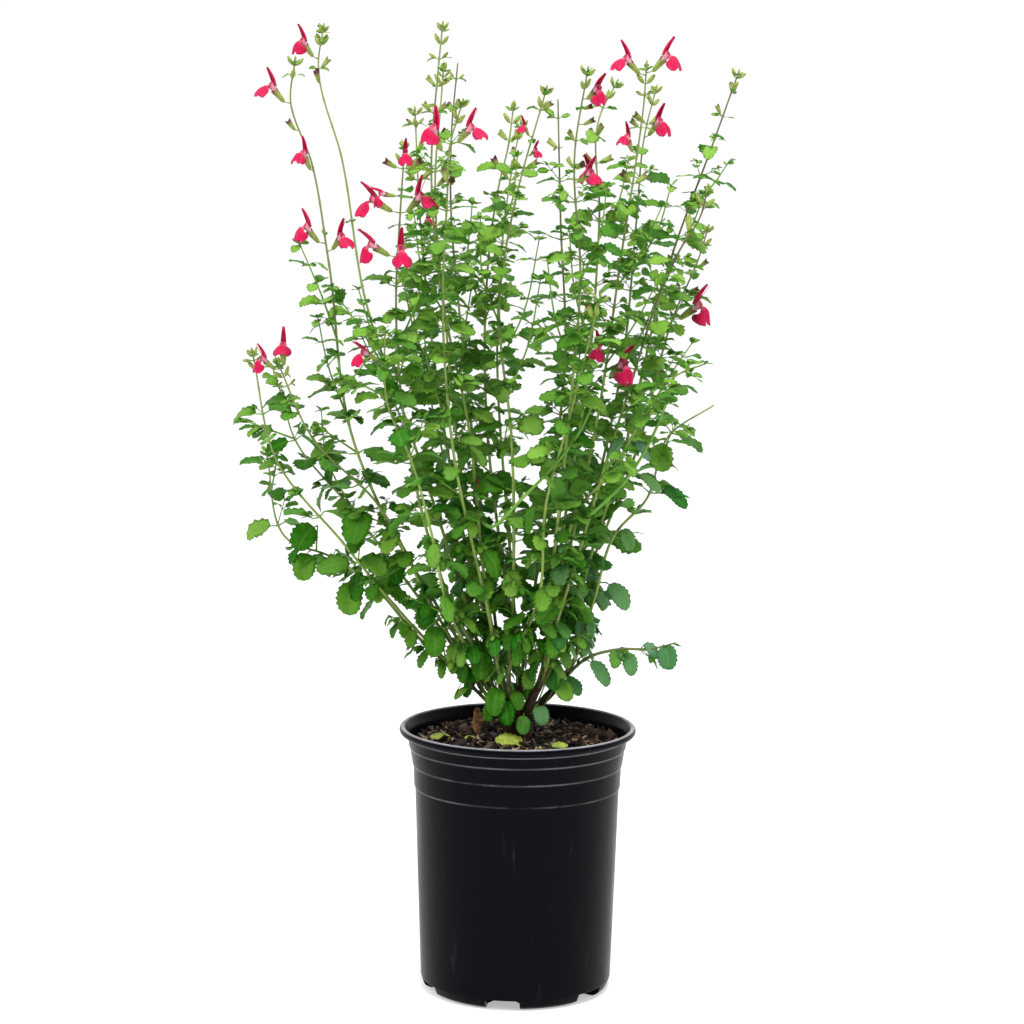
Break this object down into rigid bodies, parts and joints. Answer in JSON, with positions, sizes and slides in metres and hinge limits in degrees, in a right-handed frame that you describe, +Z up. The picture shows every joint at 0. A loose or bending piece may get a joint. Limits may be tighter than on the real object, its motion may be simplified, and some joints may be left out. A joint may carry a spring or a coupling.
{
  "type": "potted perennial salvia",
  "caption": "Bushy perennial salvia with small green leaves and crimson two-lipped flowers, in a round black plastic nursery pot filled with bark mix.",
  "frame": {"origin": "centre of the underside of the pot's foot, on the surface it stands on", "axes": "+Z up along the pot's axis, -Y towards the front of the picture, +X to its right"},
  "size_m": [0.33, 0.2677, 0.667],
  "materials": {
    "black_plastic": "satin black moulded plastic",
    "bark_mix": "loose dark bark and wood chips",
    "brown_wood": "rough thin bark",
    "leaf_green": "fresh green leaf and stem, slightly glossy",
    "crimson_petal": "soft crimson petal",
    "fallen_yellow": "fading yellow-green leaf"
  },
  "bodies": {
    "root": {"fallen_leaf_front": "fallen_yellow", "fallen_leaf_left": "fallen_yellow", "fallen_leaf_right": "fallen_yellow", "flower_back_right": "crimson_petal", "flower_big_right": "crimson_petal", "flower_bud_side": "crimson_petal", "flower_calyx_tip": "crimson_petal", "flower_cluster": "crimson_petal", "flower_front": "crimson_petal", "flower_hanging": "crimson_petal", "flower_left_cluster": "crimson_petal", "flower_left_middle": "crimson_petal", "flower_left_pair_a": "crimson_petal", "flower_left_pair_b": "crimson_petal", "flower_left_upper": "crimson_petal", "flower_level_left": "crimson_petal", "flower_low_left": "crimson_petal", "flower_pale": "crimson_petal", "flower_pale_right": "crimson_petal", "flower_slim_side": "crimson_petal", "flower_small_right": "crimson_petal", "flower_top_left": "crimson_petal", "flower_top_right_a": "crimson_petal", "flower_top_right_b": "crimson_petal", "flower_upright": "crimson_petal", "flower_upright_right": "crimson_petal", "pot": "black_plastic", "shoot_back_left_tall": "leaf_green", "shoot_back_right_tall": "leaf_green", "shoot_centre_back": "leaf_green", "shoot_centre_leaning": "leaf_green", "shoot_centre_left": "leaf_green", "shoot_centre_left_tall": "leaf_green", "shoot_centre_slim": "leaf_green", "shoot_cut_centre": "leaf_green", "shoot_cut_left": "leaf_green", "shoot_far_right": "leaf_green", "shoot_front_left": "leaf_green", "shoot_front_upright": "leaf_green", "shoot_left_arching": "leaf_green", "shoot_left_dark_calyx": "leaf_green", "shoot_left_flowering": "leaf_green", "shoot_left_hanging": "leaf_green", "shoot_left_slim": "leaf_green", "shoot_left_tall": "leaf_green", "shoot_left_tall_slim": "leaf_green", "shoot_leftmost": "leaf_green", "shoot_low_tendril": "leaf_green", "shoot_paired_flowers": "leaf_green", "shoot_right_back": "leaf_green", "shoot_right_bud": "leaf_green", "shoot_right_cluster": "leaf_green", "shoot_right_hooked": "leaf_green", "shoot_right_light": "leaf_green", "shoot_right_tall": "leaf_green", "shoot_right_tendril": "leaf_green", "shoot_right_thick": "leaf_green", "soil": "bark_mix", "woody_crown": "brown_wood"}
  },
  "joints": []
}
